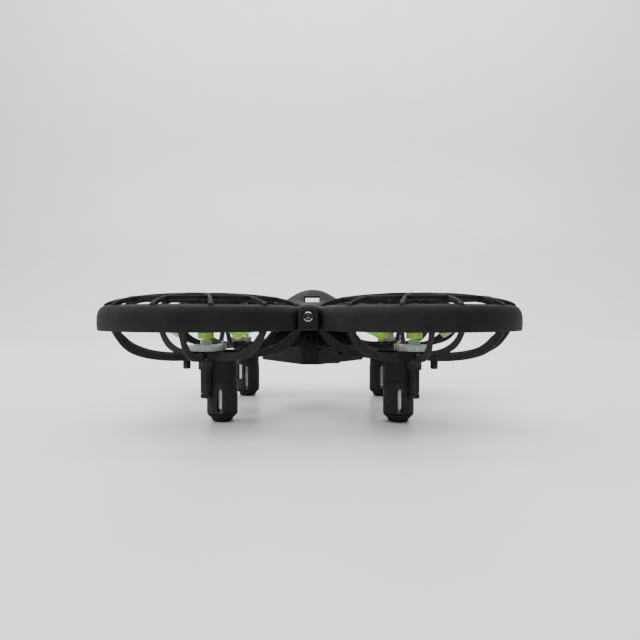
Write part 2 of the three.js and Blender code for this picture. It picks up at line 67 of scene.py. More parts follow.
RING_LOW, RING_HIGH = box_mm("front_right_guard_ring")
SHAFT_LOW, SHAFT_HIGH = box_mm("front_right_propeller_shaft")
FOOT_LOW, FOOT_HIGH = box_mm("front_right_motor_foot")
MOTOR_LOW, MOTOR_HIGH = box_mm("front_right_motor")
HOLDER_LOW, HOLDER_HIGH = box_mm("front_right_motor_holder")
GEAR_LOW, GEAR_HIGH = box_mm("front_right_spur_gear")
PINION_LOW, PINION_HIGH = box_mm("front_right_pinion")
GRILLE_HIGH = highest_mm("front_right_guard_grille")
BASKET_HIGH = highest_mm("front_right_arm_basket")
BUSHING_LOW, BUSHING_HIGH = box_mm("front_right_shaft_bushing")
SCREW_LOW, SCREW_HIGH = box_mm("front_right_boss_screw")
CANOPY_HIGH = highest_mm("canopy")
SHELL_LOW, SHELL_HIGH = box_mm("lower_shell")
LIGHT_LOW, LIGHT_HIGH = box_mm("light_bar")
SWITCH_LOW, SWITCH_HIGH = box_mm("power_switch")
EYE_LOW, EYE_HIGH = box_mm("front_sensor")

ROTOR_OFFSET = (SHAFT_LOW.x + SHAFT_HIGH.x) / 2
MOTOR_OFFSET = ROTOR_OFFSET - (FOOT_LOW.x + FOOT_HIGH.x) / 2
AXLE_SPACING = MOTOR_OFFSET * math.sqrt(2)
MOTOR_CENTRE = (-MOTOR_OFFSET, -MOTOR_OFFSET)
RING_RADIUS = RING_HIGH.x - ROTOR_OFFSET
RING_DROP = 0.25                # the rings and bridges reach this far below their CAD solids
RING_BOTTOM = RING_LOW.z - RING_DROP
RING_CREST = RING_HIGH.z
BASKET_RADIUS = BASKET_HIGH.x - ROTOR_OFFSET
GRILLE_RADIUS = GRILLE_HIGH.x - ROTOR_OFFSET
HOLDER_RADIUS = (FOOT_HIGH.x - FOOT_LOW.x) / 2 + 0.1
MOTOR_RADIUS = (MOTOR_HIGH.x - MOTOR_LOW.x) / 2
BRIDGE_REACH = CANOPY_HIGH.x
BRIDGE_HALF = 3.5
EYE_HEIGHT = (EYE_LOW.z + EYE_HIGH.z) / 2
CANOPY_TOP = CANOPY_HIGH.z
POD_BOTTOM = SHELL_LOW.z
POD_SEAM = SHELL_HIGH.z
POD_REACH = SHELL_HIGH.y
POD_SIDE = SHELL_HIGH.x
GAP = 0.3
WALL = 1.2

CORNERS = {
    "front_left": (-1, -1),
    "front_right": (1, -1),
    "rear_left": (-1, 1),
    "rear_right": (1, 1),
}


# ---- camera ----

CAMERA_LENS = 30.75
CAMERA_PLACE = (0.0064, -0.2435, 0.0405)
CAMERA_DOWN = 0.51              # degrees below level
CAMERA_LEFT = 0.72              # degrees left of straight ahead


def add_camera():
    """Almost level with the drone, a little right of its middle and looking slightly down."""
    data = bpy.data.cameras.new("camera")
    data.lens = CAMERA_LENS
    data.clip_start = 0.01
    data.dof.use_dof = False
    camera = bpy.data.objects.new("camera", data)
    camera.location = CAMERA_PLACE
    camera.rotation_euler = (math.radians(90 - CAMERA_DOWN), 0, math.radians(CAMERA_LEFT))
    bpy.context.collection.objects.link(camera)
    bpy.context.scene.camera = camera


add_camera()


# ---- mesh helpers ----

def make_object(name, bm, material, smooth_angle=35):
    """A mesh object in metres from a bmesh in millimetres, with sharp edges kept sharp."""
    bmesh.ops.remove_doubles(bm, verts=bm.verts, dist=0.002)
    bmesh.ops.dissolve_degenerate(bm, edges=bm.edges, dist=0.0005)
    bmesh.ops.recalc_face_normals(bm, faces=bm.faces)
    limit = math.radians(smooth_angle)
    for edge in bm.edges:
        edge.smooth = len(edge.link_faces) == 2 and edge.calc_face_angle(math.pi) < limit
    for face in bm.faces:
        face.smooth = True
    bm.transform(Matrix.Scale(MM, 4))
    mesh = bpy.data.meshes.new(name)
    bm.to_mesh(mesh)
    bm.free()
    mesh.materials.append(material)
    piece = bpy.data.objects.new(name, mesh)
    bpy.context.collection.objects.link(piece)
    return piece


def bridge_rings(rings):
    """A body skinned over a list of equal point rings, with its two ends closed."""
    bm = bmesh.new()
    loops = [[bm.verts.new(point) for point in ring] for ring in rings]
    count = len(loops[0])
    for near, far in zip(loops, loops[1:]):
        for at in range(count):
            following = (at + 1) % count
            bm.faces.new((near[at], near[following], far[following], far[at]))
    bm.faces.new(list(reversed(loops[0])))
    bm.faces.new(loops[-1])
    return bm


def turned(profile, sides=64, centre=(0, 0), closed=False):
    """A body turned round Z from (radius, height) pairs. Points on the axis become one point."""
    bm = bmesh.new()
    loops = []
    for radius, height in profile:
        if radius < 1e-6:
            loops.append([bm.verts.new((centre[0], centre[1], height))])
            continue
        angles = [TURN * at / sides for at in range(sides)]
        loops.append([
            bm.verts.new((centre[0] + radius * math.cos(a), centre[1] + radius * math.sin(a), height))
            for a in angles
        ])
    pairs = list(zip(loops, loops[1:]))
    if closed:
        pairs.append((loops[-1], loops[0]))
    for near, far in pairs:
        for at in range(sides):
            following = (at + 1) % sides
            corners = [near[at % len(near)], near[following % len(near)],
                       far[following % len(far)], far[at % len(far)]]
            unique = list(dict.fromkeys(corners))
            if len(unique) > 2:
                bm.faces.new(unique)
    return bm


def hoop(section, sides=96, centre=(0, 0)):
    """A closed (radius, height) section turned round Z."""
    return turned(section, sides, centre, closed=True)


def slab(outline, low, high):
    """An (x, y) outline raised from one height to another."""
    rings = [[(x, y, z) for x, y in outline] for z in (low, high)]
    return bridge_rings(rings)


def rounded_box(size, centre, radius, steps):
    """A box with rounded edges."""
    bm = bmesh.new()
    bmesh.ops.create_cube(bm, size=1)
    bm.transform(Matrix.Translation(centre) @ Matrix.Diagonal((*size, 1)))
    bmesh.ops.bevel(bm, geom=bm.edges[:], offset=radius, segments=steps, profile=0.5, affect="EDGES")
    return bm


def merged(*parts):
    """One bmesh that holds several, which are used up."""
    whole = bmesh.new()
    for part in parts:
        mesh = bpy.data.meshes.new("part")
        part.to_mesh(mesh)
        part.free()
        whole.from_mesh(mesh)
        bpy.data.meshes.remove(mesh)
    return whole


def moved(bm, matrix):
    bm.transform(matrix)
    return bm


def spun(bm, angle, axis):
    return moved(bm, Matrix.Rotation(angle, 4, axis))


def shifted(bm, place):
    return moved(bm, Matrix.Translation(place))


def scratch_object(bm):
    """A temporary object that holds a bmesh, which is used up."""
    mesh = bpy.data.meshes.new("scratch")
    bm.to_mesh(mesh)
    bm.free()
    piece = bpy.data.objects.new("scratch", mesh)
    bpy.context.collection.objects.link(piece)
    return piece


def evaluated(piece, *others):
    """A temporary object's mesh with its modifiers applied, as a bmesh. All the objects are removed."""
    graph = bpy.context.evaluated_depsgraph_get()
    result = bmesh.new()
    result.from_mesh(piece.evaluated_get(graph).to_mesh())
    piece.evaluated_get(graph).to_mesh_clear()
    for scratch in (piece, *others):
        mesh = scratch.data
        bpy.data.objects.remove(scratch)
        bpy.data.meshes.remove(mesh)
    return result


def boolean(base, tool, operation):
    """The union or difference of two closed bmeshes, which are used up."""
    for bm in (base, tool):
        bmesh.ops.recalc_face_normals(bm, faces=bm.faces)
        bmesh.ops.triangulate(bm, faces=[face for face in bm.faces if len(face.verts) > 4])
    body, other = scratch_object(base), scratch_object(tool)
    modifier = body.modifiers.new("boolean", "BOOLEAN")
    modifier.operation = operation
    modifier.solver = "MANIFOLD"
    modifier.object = other
    return evaluated(body, other)


def joined(base, *tools):
    for tool in tools:
        base = boolean(base, tool, "UNION")
    return base


def cut(base, *tools):
    for tool in tools:
        base = boolean(base, tool, "DIFFERENCE")
    return base


def arc(centre, radius, first, last, count):
    """Points on a circle, from one angle in degrees to another."""
    points = []
    for at in range(count + 1):
        angle = math.radians(first + (last - first) * at / count)
        points.append((centre[0] + radius * math.cos(angle), centre[1] + radius * math.sin(angle)))
    return points


def curve_point(points, at, t):
    """A point on the smooth curve through the given points, a share t along the stretch after point at."""
    last = len(points) - 1
    before, start, end, after = (Vector(points[max(0, min(at + shift, last))]) for shift in (-1, 0, 1, 2))
    return 0.5 * (
        2 * start + (end - before) * t
        + (2 * before - 5 * start + 4 * end - after) * t ** 2
        + (3 * start - before - 3 * end + after) * t ** 3
    )


def smooth_line(points, steps):
    """A smooth line through the given points, with evenly many points on each stretch."""
    stretches = len(points) - 1
    line = [curve_point(points, at, step / steps) for at in range(stretches) for step in range(steps)]
    line.append(Vector(points[-1]))
    return line


# ---- materials ----

class Shader:
    """A material's node tree with short ways to add and link nodes."""

    def __init__(self, name):
        self.material = bpy.data.materials.new(name)
        self.material.use_nodes = True
        self.tree = self.material.node_tree
        self.surface = self.tree.nodes["Principled BSDF"]
        self.place = self.add("ShaderNodeTexCoord").outputs["Object"]

    def add(self, kind, **settings):
        node = self.tree.nodes.new(kind)
        for key, value in settings.items():
            setattr(node, key, value)
        return node

    def link(self, source, target):
        self.tree.links.new(source, target)

    def set(self, **values):
        """Sets plain values on the surface's own sockets; spaces in their names are underscores."""
        for key, value in values.items():
            self.surface.inputs[key.replace("_", " ")].default_value = value

    def noise(self, size_mm, detail=3, stretch=(1, 1, 1)):
        """A noise whose blobs are about so many millimetres across."""
        mapping = self.add("ShaderNodeMapping")
        mapping.inputs["Scale"].default_value = stretch
        texture = self.add("ShaderNodeTexNoise")
        texture.inputs["Scale"].default_value = 1 / (size_mm * MM)
        texture.inputs["Detail"].default_value = detail
        self.link(self.place, mapping.inputs["Vector"])
        self.link(mapping.outputs["Vector"], texture.inputs["Vector"])
        return texture.outputs["Fac"]

    def ramp(self, source, low, high, start=0.3, end=0.7):
        """Maps a 0 to 1 value onto a range of numbers."""
        node = self.add("ShaderNodeMapRange")
        node.inputs["From Min"].default_value = start
        node.inputs["From Max"].default_value = end
        node.inputs["To Min"].default_value = low
        node.inputs["To Max"].default_value = high
        self.link(source, node.inputs["Value"])
        return node.outputs["Result"]

    def mix(self, factor, first, second):
        """A colour between two colours, each a socket or an (r, g, b)."""
        node = self.add("ShaderNodeMix", data_type="RGBA")
        factor_socket, first_colour, second_colour, result = 0, 6, 7, 2
        self.link(factor, node.inputs[factor_socket])
        for at, colour in ((first_colour, first), (second_colour, second)):
            if isinstance(colour, tuple):
                node.inputs[at].default_value = (*colour, 1)
            else:
                self.link(colour, node.inputs[at])
        return node.outputs[result]

    def bump(self, layers):
        """Stacks bumps, each a (height socket, depth in mm)."""
        normal = None
        for height, depth in layers:
            node = self.add("ShaderNodeBump")
            node.inputs["Strength"].default_value = 1
            node.inputs["Distance"].default_value = depth * MM
            self.link(height, node.inputs["Height"])
            if normal:
                self.link(normal, node.inputs["Normal"])
            normal = node.outputs["Normal"]
        self.link(normal, self.surface.inputs["Normal"])

    def edges(self, start=0.53, end=0.6):
        """How worn a point is: 1 on sharp outer edges, 0 on flats, broken up by noise."""
        pointiness = self.add("ShaderNodeNewGeometry").outputs["Pointiness"]
        worn = self.ramp(pointiness, 0, 1, start, end)
        broken = self.ramp(self.noise(1.2, 5), 0.1, 1)
        product = self.add("ShaderNodeMath", operation="MULTIPLY")
        self.link(worn, product.inputs[0])
        self.link(broken, product.inputs[1])
        return product.outputs[0]

    def facing_up(self):
        """1 where a surface faces up and 0 where it doesn't, for dust."""
        normal = self.add("ShaderNodeNewGeometry").outputs["Normal"]
        split = self.add("ShaderNodeSeparateXYZ")
        self.link(normal, split.inputs[0])
        return self.ramp(split.outputs["Z"], 0, 1, 0.55, 1)

    def clouds(self, size_mm, detail, first, second):
        """Slow patches between two colours."""
        return self.mix(self.ramp(self.noise(size_mm, detail), 0, 1), first, second)

    def gloss(self, size_mm, detail, low, high):
        """Lets the roughness wander between two values."""
        self.roughness(self.ramp(self.noise(size_mm, detail), low, high))

    def colour(self, source):
        self.link(source, self.surface.inputs["Base Color"])

    def roughness(self, source):
        self.link(source, self.surface.inputs["Roughness"])


def moulded(name, base, light, roughness, grain=0.012):
    """Moulded plastic: a fine spark-eroded grain, slow gloss changes, paler worn edges and thin dust."""
    shader = Shader(name)
    shade = shader.clouds(9, 4, base, light)
    worn = shader.mix(shader.edges(), shade, tuple(1.6 * part + 0.01 for part in light))
    specks = shader.ramp(shader.noise(0.7, 6), 0, 0.06, 0.62, 0.8)
    dust = shader.add("ShaderNodeMath", operation="MULTIPLY")
    shader.link(specks, dust.inputs[0])
    shader.link(shader.facing_up(), dust.inputs[1])
    shader.colour(shader.mix(dust.outputs[0], worn, (0.1, 0.098, 0.095)))
    shader.gloss(4, 5, roughness - 0.05, roughness + 0.07)
    shader.bump([(shader.noise(0.22, 2), grain), (shader.noise(3.5, 3), grain * 1.5)])
    shader.set(IOR=1.45, Specular_IOR_Level=0.1)
    return shader.material


def lime_plastic():
    """Tinted, slightly see-through plastic for the blades, glossy, with faint flow lines."""
    shader = Shader("lime_plastic")
    flow = shader.ramp(shader.noise(6, 3, (1, 1, 0.3)), 0, 1)
    shade = shader.mix(flow, (0.2, 0.52, 0.02), (0.26, 0.6, 0.035))
    shader.colour(shader.mix(shader.edges(0.54, 0.62), shade, (0.4, 0.75, 0.1)))
    shader.gloss(3, 4, 0.26, 0.36)
    shader.bump([(shader.noise(0.6, 3), 0.004)])
    shader.set(IOR=1.49, Transmission_Weight=0.2)
    return shader.material


def nylon():
    """Off-white moulded nylon: slightly waxy, with a faint glow from inside. Its colour is darkened to a
    grey, partly painted shade for the shade the gears sit in under the guard domes.
    """
    shader = Shader("nylon")
    # partly painted shade: these greys are darker than off-white nylon, standing in for the shade under
    # the guard domes
    shade = shader.clouds(2.5, 4, (0.4, 0.425, 0.385), (0.48, 0.505, 0.46))
    shader.colour(shader.mix(shader.edges(0.54, 0.62), shade, (0.6, 0.62, 0.58)))
    shader.gloss(1.5, 4, 0.38, 0.52)
    shader.bump([(shader.noise(0.3, 3), 0.01)])
    shader.set(Subsurface_Weight=0.1, Subsurface_Scale=0.0005)
    return shader.material


def bare_metal(name, base, light, roughness, stretch, depth=0.004):
    """Bare metal with fine lines left by drawing or turning."""
    shader = Shader(name)
    lines = shader.noise(0.35, 5, stretch)
    shader.colour(shader.clouds(3, 4, base, light))
    shader.roughness(shader.ramp(lines, roughness - 0.08, roughness + 0.12))
    shader.bump([(lines, depth)])
    shader.set(Metallic=1.0)
    return shader.material


def milky_painted_glow():
    """A frosted light guide with a faint, slightly uneven painted glow: its emission stands in for the
    light it catches.
    """
    shader = Shader("milky_painted_glow")
    shade = shader.clouds(2, 3, (0.82, 0.84, 0.84), (0.93, 0.94, 0.93))
    shader.colour(shade)
    # painted glow: the guide's colour also drives its emission, so it looks brighter than its surroundings
    shader.link(shade, shader.surface.inputs["Emission Color"])
    shader.gloss(1, 4, 0.3, 0.42)
    shader.bump([(shader.noise(0.25, 3), 0.01)])
    # the emission strength sets how bright the painted glow is
    shader.set(Emission_Strength=1.4, Subsurface_Weight=0.4, Subsurface_Scale=0.001)
    return shader.material


def dark_lens():
    """The dark epoxy dome of an infrared diode: violet-black, glossy, faintly smeared."""
    shader = Shader("dark_lens")
    shader.colour(shader.clouds(1, 3, (0.008, 0.006, 0.012), (0.02, 0.014, 0.028)))
    shader.gloss(0.6, 4, 0.04, 0.14)
    shader.bump([(shader.noise(0.5, 2), 0.003)])
    shader.set(IOR=1.54, Coat_Weight=0.5, Coat_Roughness=0.05)
    return shader.material


def solder_mask():
    """A green board with copper tracks under the mask, as brighter bands."""
    shader = Shader("solder_mask")
    wave = shader.add("ShaderNodeTexWave", bands_direction="DIAGONAL")
    wave.inputs["Scale"].default_value = 260
    wave.inputs["Distortion"].default_value = 6
    shader.link(shader.place, wave.inputs["Vector"])
    tracks = shader.ramp(wave.outputs["Fac"], 0, 1, 0.45, 0.55)
    shader.colour(shader.mix(tracks, (0.01, 0.11, 0.035), (0.03, 0.21, 0.07)))
    shader.gloss(1, 4, 0.28, 0.4)
    shader.bump([(tracks, 0.02), (shader.noise(0.3, 2), 0.004)])
    return shader.material


def foil():
    """A crinkled aluminium pouch, with painted shade darkening its crease hollows."""
    shader = Shader("foil")
    creases = shader.noise(2.4, 6, (1, 1, 0.6))
    # painted shade: the colour follows the crease height, darker in the hollows and paler on the ridges
    shader.colour(shader.mix(shader.ramp(creases, 0, 1), (0.6, 0.61, 0.63), (0.75, 0.76, 0.77)))
    shader.gloss(0.8, 4, 0.24, 0.42)
    shader.bump([(creases, 0.12)])
    shader.set(Metallic=0.9)
    return shader.material


BLACK = moulded("satin_black", (0.0145, 0.0145, 0.0148), (0.022, 0.022, 0.0225), 0.62)
BLACK_LEG = moulded("satin_black_leg", (0.021, 0.021, 0.0215), (0.031, 0.031, 0.0315), 0.6)
BLACK_SWITCH = moulded("matt_black_switch", (0.024, 0.024, 0.024), (0.036, 0.036, 0.036), 0.66, 0.018)
LIME = lime_plastic()
NYLON = nylon()
CAN = bare_metal("drawn_can", (0.42, 0.43, 0.44), (0.55, 0.56, 0.57), 0.34, (1, 1, 0.06))
SHAFT_STEEL = bare_metal("ground_steel", (0.6, 0.6, 0.61), (0.74, 0.74, 0.75), 0.22, (0.1, 0.1, 1))
RIM_SILVER = bare_metal("bright_rim", (0.68, 0.69, 0.7), (0.84, 0.85, 0.86), 0.2, (0.3, 0.3, 1))
BLACK_OXIDE = bare_metal("black_oxide", (0.03, 0.03, 0.032), (0.06, 0.06, 0.064), 0.38, (1, 1, 1), 0.01)
MILKY = milky_painted_glow()
LENS = dark_lens()
BOARD = solder_mask()
FOIL = foil()


# ---- rotor unit: guard ----

SPOKE_COUNT = 12
SPOKE_WIDTH = 1.4
SPOKE_DEPTH = 1.7
DOME_BASE = RING_CREST - 0.2
DOME_RISE = GRILLE_HIGH.z - DOME_BASE
DOME_RADIUS = GRILLE_RADIUS + 1.7
BRIDGE_EDGE = ROTOR_OFFSET - BRIDGE_HALF + 0.2


def dome_height(radius):
    """Height of the grille's upper side at a distance from the propeller axis."""
    return DOME_BASE + DOME_RISE * math.sqrt(max(0, 1 - (radius / DOME_RADIUS) ** 2))


def trimmed(bm):
    """Cuts off what lies past the bridges' edges, on the two sides towards the middle of the drone."""
    for normal in ((-1, 0, 0), (0, -1, 0)):
        geometry = bm.verts[:] + bm.edges[:] + bm.faces[:]
        place = Vector(normal) * BRIDGE_EDGE
        bmesh.ops.bisect_plane(bm, geom=geometry, plane_co=place, plane_no=normal, clear_outer=True)
        open_edges = [e for e in bm.edges if e.is_boundary]
        bmesh.ops.holes_fill(bm, edges=open_edges)
    return bm


def guard_ring():
    """A band with slightly bulging sides, a broad rounded shoulder and a thin lip inside it."""
    side = [(RING_RADIUS - 0.3, RING_BOTTOM), (RING_RADIUS - 0.2, RING_BOTTOM + 0.06)]
    shoulder = smooth_line([
        (RING_RADIUS - 0.16, RING_BOTTOM + 0.5),
        (RING_RADIUS, RING_BOTTOM + 2.2),
        (RING_RADIUS - 0.02, RING_BOTTOM + 4.2),
        (RING_RADIUS - 0.3, RING_BOTTOM + 6.1),
        (RING_RADIUS - 1.15, RING_CREST - 0.95),
        (RING_RADIUS - 2.1, RING_CREST - 0.2),
        (RING_RADIUS - 3, RING_CREST),
    ], 4)
    inside = [
        (RING_RADIUS - 3.25, RING_CREST - 0.12),
        (RING_RADIUS - 3.3, RING_CREST - 0.5),
        (RING_RADIUS - 2.6, RING_CREST - 1.7),
        (RING_RADIUS - 2.2, RING_CREST - 2.6),
        (RING_RADIUS - 2.2, RING_BOTTOM + 0.2),
        (RING_RADIUS - 2, RING_BOTTOM),
    ]
    section = side + [tuple(point) for point in shoulder] + inside
    return trimmed(hoop(section, 128))


def spoke():
    """One spoke along +X, arched like the dome, with rounded edges and a wider foot at each end."""
    first, last, count = 2.5, DOME_RADIUS - 0.5, 26
    rings = []
    for at in range(count + 1):
        radius = first + (last - first) * at / count
        flare = 0.2 * math.exp(-(last - radius) / 0.9) + 0.35 * math.exp(-(radius - 4) / 1.2)
        half = SPOKE_WIDTH / 2 + min(0.6, flare)
        top = dome_height(radius)
        bottom = max(top - SPOKE_DEPTH, min(top - 0.9, RING_CREST - 0.8))
        crown, round_off = 0.45, 0.3
        rings.append([
            (radius, -half, bottom + round_off), (radius, -half + round_off, bottom),
            (radius, half - round_off, bottom), (radius, half, bottom + round_off),
            (radius, half, top - crown), (radius, half * 0.72, top - crown * 0.35),
            (radius, half * 0.25, top), (radius, -half * 0.25, top),
            (radius, -half * 0.72, top - crown * 0.35), (radius, -half, top - crown),
        ])
    return bridge_rings(rings)


def dome_hoop(radius, width, depth, sides=96, sink=0):
    """A hoop of the grille with rounded edges, its top flush with the spokes or sunk below them."""
    top = dome_height(radius) - sink
    inner, outer = radius - width / 2, radius + width / 2
    round_off = 0.3
    section = [
        (inner, top - depth + round_off), (inner + round_off, top - depth),
        (outer - round_off, top - depth), (outer, top - depth + round_off),
        (outer, top - round_off), (outer - round_off, top), (inner + round_off, top + 0.02),
        (inner, top - round_off + 0.02),
    ]
    return hoop(section, sides)


def guard_grille():
    spokes = [
        spun(spoke(), math.radians(15) + at * TURN / SPOKE_COUNT, "Z")
        for at in range(SPOKE_COUNT)
    ]
    edge = dome_hoop(GRILLE_RADIUS - 0.65, 1.3, 1.8, 120, sink=1.4)
    middle = dome_hoop(27, 1.3, 1.5)
    hub_top = dome_height(0)
    hub = turned([
        (0, hub_top - 2), (3.6, hub_top - 2), (4, hub_top - 1.6), (4, hub_top - 0.5),
        (3.5, hub_top - 0.06), (2.4, hub_top - 0.02), (2.2, hub_top - 0.3), (0, hub_top - 0.35),
    ], 48)
    return joined(merged(*spokes), merged(edge, middle), hub)


# ---- rotor unit: basket ----

TRAY_CENTRE = (-4.7, -4.7)
TRAY_RADIUS = 10.9
TRAY_BOTTOM = HOLDER_HIGH.z + GAP
TRAY_RIM = 26.8
SCREW_HEAD = 1.6
SCREW_RADIUS = (SCREW_HIGH.x - SCREW_LOW.x) / 2
SCREW_PLACE = (
    (SCREW_LOW.x + SCREW_HIGH.x) / 2 - ROTOR_OFFSET,
    -(SCREW_LOW.y + SCREW_HIGH.y) / 2 - ROTOR_OFFSET,
)
ARM_WIDTHS = (1.5, 1.4, 1.3, 1.3, 1.6, 1.8, 1.5, 1.4)


def arm(width):
    """One curved arm along +X, a rib from under the tray out and up to the guard ring."""
    outside = BASKET_RADIUS + 0.7
    lower = smooth_line([
        (3, TRAY_BOTTOM), (10.1, TRAY_BOTTOM + 0.1), (16.2, TRAY_BOTTOM + 0.5),
        (22.2, TRAY_BOTTOM + 1.4), (27.7, TRAY_BOTTOM + 3), (31.4, TRAY_BOTTOM + 5.2),
        (34, TRAY_BOTTOM + 8.1), (outside - 0.1, RING_BOTTOM - 0.6), (outside, RING_BOTTOM + 0.6),
    ], 5)
    upper = smooth_line([
        (3, TRAY_RIM - 0.2), (9.4, TRAY_RIM - 0.2), (15, TRAY_RIM - 0.05),
        (20.8, TRAY_RIM + 0.8), (25.6, TRAY_RIM + 2.4), (29, TRAY_RIM + 4.4),
        (31.4, TRAY_RIM + 6.6), (32.7, RING_BOTTOM - 0.7), (33, RING_BOTTOM + 0.6),
    ], 5)
    rings = []
    for low, high in zip(lower, upper):
        across = (high - low).normalized()
        round_off = min(0.35, width / 4)
        flare = 1 + 0.35 * math.exp(-(RING_BOTTOM - low.y) / 1.2) if low.y > TRAY_RIM else 1
        half = width / 2 * flare
        start, end = low + across * round_off, high - across * round_off
        inset = half - round_off
        rings.append([
            (start.x, -half, start.y), (low.x, -inset, low.y), (low.x, inset, low.y),
            (start.x, half, start.y), (end.x, half, end.y), (high.x, inset, high.y),
            (high.x, -inset, high.y), (end.x, -half, end.y),
        ])
    return bridge_rings(rings)


def gear_tray():
    """A shallow bowl under the gears, centred nearly on the motor."""
    bowl = smooth_line([
        (HOLDER_RADIUS + 1.2, TRAY_BOTTOM), (TRAY_RADIUS - 2, TRAY_BOTTOM + 0.5),
        (TRAY_RADIUS - 0.7, TRAY_BOTTOM + 1.5), (TRAY_RADIUS, TRAY_RIM - 0.2),
    ], 4)
    rim = [(TRAY_RADIUS - 0.15, TRAY_RIM), (TRAY_RADIUS - 0.8, TRAY_RIM)]
    inside = [(TRAY_RADIUS - 1, TRAY_RIM - 0.2), (TRAY_RADIUS - 1.8, TRAY_BOTTOM + 1.7)]
    floor = [(0, TRAY_BOTTOM + 1.6)]
    profile = [(0, TRAY_BOTTOM)] + [tuple(point) for point in bowl] + rim + inside + floor
    return turned(profile, 72, TRAY_CENTRE)


def rod(radius, low, high, centre=(0, 0), sides=32):
    return turned([(0, low), (radius, low), (radius, high), (0, high)], sides, centre)


def arm_basket():
    count = len(ARM_WIDTHS)
    arms = [spun(arm(width), at * TURN / count, "Z")
            for at, width in enumerate(ARM_WIDTHS)]
    rim = hoop([
        (BASKET_RADIUS - 1, RING_BOTTOM - 0.2), (BASKET_RADIUS + 0.6, RING_BOTTOM + 0.25),
        (BASKET_RADIUS + 0.6, RING_BOTTOM + 1), (BASKET_RADIUS - 1, RING_BOTTOM + 1),
    ], 128)
    rim = trimmed(rim)
    boss_bottom = SCREW_LOW.z + SCREW_HEAD
    boss = turned([
        (0, boss_bottom), (SCREW_RADIUS, boss_bottom), (SCREW_RADIUS, TRAY_BOTTOM - 0.5),
        (SCREW_RADIUS + 0.7, TRAY_BOTTOM + 0.3), (SCREW_RADIUS + 0.8, TRAY_RIM - 1), (0, TRAY_RIM - 1),
    ], 32, SCREW_PLACE)
    tab = rounded_box((7.5, 2.6, 2.2), (SCREW_PLACE[0] - 3.6, SCREW_PLACE[1], TRAY_RIM - 2.1), 0.3, 2)
    recess = rod(TRAY_RADIUS - 1.1, TRAY_BOTTOM + 1.7, TRAY_RIM + 2, TRAY_CENTRE, 72)
    motor_hole = rod(1.9, TRAY_BOTTOM - 1, TRAY_RIM + 2, MOTOR_CENTRE)
    shaft_hole = rod(0.95, TRAY_BOTTOM - 1, TRAY_RIM + 2)
    screw_hole = rod(0.9, boss_bottom - 1, TRAY_RIM - 1.5, SCREW_PLACE)
    whole = joined(gear_tray(), merged(*arms), rim, boss, tab)
    return cut(whole, recess, motor_hole, shaft_hole, screw_hole)


def boss_screw():
    """A pan-head screw seen from below, with a cross recess."""
    low = SCREW_LOW.z
    radius = SCREW_RADIUS
    head = turned([
        (0, low), (radius - 0.5, low + 0.03), (radius - 0.2, low + 0.12), (radius, low + 0.4),
        (radius, low + SCREW_HEAD - 0.06), (radius - 0.1, low + SCREW_HEAD - 0.02),
        (0.6, low + SCREW_HEAD - 0.02), (0.6, SCREW_HIGH.z - 0.3), (0, SCREW_HIGH.z),
    ], 32, SCREW_PLACE)
    slots = [
        rounded_box(size, (*SCREW_PLACE, low), 0.04, 1) for size in ((1.6, 0.3, 1), (0.3, 1.6, 1))
    ]
    return cut(head, *slots)


# ---- rotor unit: leg and motor ----

STEP_HEIGHT = 15.2
TUBE_RADIUS = 1.95
BUSHING_RADIUS = (BUSHING_HIGH.x - BUSHING_LOW.x) / 2 + 0.05
SHAFT_BORE = 0.75
WINDOW_LOW, WINDOW_HIGH = 8.4, 15.8
WINDOW_MIDDLE, WINDOW_HALF_ANGLE = -34, 34


def wedge(first, last, radius, low, high, centre):
    """A pie slice between two angles in degrees."""
    outline = [centre] + arc(centre, radius, first, last, 16)
    return slab(outline, low, high)


def leg_slot(side, top):
    """A slot with a round top through one side of the leg, from the foot up."""
    half = 0.95
    bottom = HOLDER_LOW.z + GAP
    outline = [(-half, bottom), (half, bottom)] + arc((0, top - half), half, 0, 180, 12)
    rings = []
    for depth in (0.5, HOLDER_RADIUS + 1):
        rings.append([
            (MOTOR_CENTRE[0] + across, MOTOR_CENTRE[1] + side * depth, height)
            for across, height in outline
        ])
    return bridge_rings(rings)


def motor_holder():
    """The leg: a slotted sleeve round the motor, and beside it the propeller shaft's bearing tube."""
    inside = MOTOR_RADIUS + GAP
    outside = HOLDER_RADIUS
    bottom, top = HOLDER_LOW.z, HOLDER_HIGH.z
    sleeve = hoop([
        (inside, bottom + 0.3), (inside + 0.3, bottom), (outside - 0.2, bottom),
        (outside, bottom + 0.2), (outside, STEP_HEIGHT - 0.15), (outside - 0.08, STEP_HEIGHT),
        (outside - 0.22, STEP_HEIGHT + 0.08), (outside - 0.22, top - 0.15),
        (outside - 0.35, top), (inside, top),
    ], 96, MOTOR_CENTRE)
    tube = turned([
        (0, BUSHING_HIGH.z + GAP), (TUBE_RADIUS - 0.15, BUSHING_HIGH.z + GAP),
        (TUBE_RADIUS, BUSHING_HIGH.z + GAP + 0.15), (TUBE_RADIUS + 0.1, top - 3.6),
        (TUBE_RADIUS + 0.9, top - 3.2), (2.8, top - 2.8), (2.8, top), (0, top),
    ], 40)
    web_length = AXLE_SPACING - inside - 0.4
    web = rounded_box((web_length, 1.6, top - BUSHING_HIGH.z - 1.4), (0, 0, 0), 0.2, 2)
    web = shifted(web, (-web_length / 2, 0, (top + BUSHING_HIGH.z + 1.4) / 2))
    web = spun(web, TURN / 8, "Z")
    cavity = rod(inside, bottom - 1, top + 1, MOTOR_CENTRE, 96)
    bore = rod(SHAFT_BORE, BUSHING_HIGH.z - 1, top + 1)
    window = wedge(WINDOW_MIDDLE - WINDOW_HALF_ANGLE, WINDOW_MIDDLE + WINDOW_HALF_ANGLE, outside + 2,
                   WINDOW_LOW, WINDOW_HIGH, MOTOR_CENTRE)
    notch = rod(BUSHING_RADIUS + GAP, BUSHING_LOW.z - GAP, BUSHING_HIGH.z + GAP, sides=40)
    leg = cut(joined(cut(sleeve, notch), tube, web), cavity, bore)
    return cut(leg, leg_slot(1, 12.6), leg_slot(-1, WINDOW_HIGH - 0.5), window)


